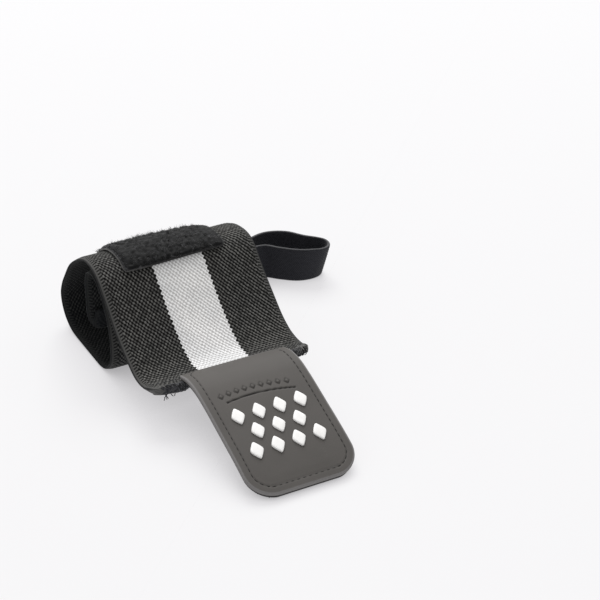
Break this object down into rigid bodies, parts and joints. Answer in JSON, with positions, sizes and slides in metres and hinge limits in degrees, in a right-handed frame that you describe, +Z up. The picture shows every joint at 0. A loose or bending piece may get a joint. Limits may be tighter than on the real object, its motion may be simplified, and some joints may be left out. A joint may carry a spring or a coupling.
{
  "type": "wrist wrap",
  "caption": "Elastic wrist wrap lying half unrolled, with folded hems, a rubber pull tab with a hook backing, a pile patch and a thumb loop.",
  "frame": {"origin": "on the floor, under the middle of the bounding box", "axes": "+X across the band towards the thumb loop, +Y from the tab's tip towards the roll, +Z up"},
  "size_m": [0.132, 0.1736, 0.0526],
  "materials": {
    "webbing": "coarse knotted elastic webbing, charcoal with a light grey stripe along its middle",
    "tab_rubber": "smooth matt moulded rubber",
    "hooks": "dense black hook tape",
    "patch_cloth": "flat woven border of a loop patch",
    "pile": "brushed nylon pile",
    "loop_webbing": "finely ribbed narrow webbing, blue black",
    "mark_rubber": "raised white rubber print"
  },
  "bodies": {
    "root": {"band": "webbing", "tab_face": "tab_rubber", "hook_backing": "hooks", "patch_base": "patch_cloth", "patch_pile": "pile", "thumb_loop": "loop_webbing", "grip_mark_1": "mark_rubber", "grip_mark_2": "mark_rubber", "grip_mark_3": "mark_rubber", "grip_mark_4": "mark_rubber", "grip_mark_5": "mark_rubber", "grip_mark_6": "mark_rubber", "grip_mark_7": "mark_rubber", "grip_mark_8": "mark_rubber", "grip_mark_9": "mark_rubber", "grip_mark_10": "mark_rubber", "grip_mark_11": "mark_rubber"}
  },
  "joints": []
}
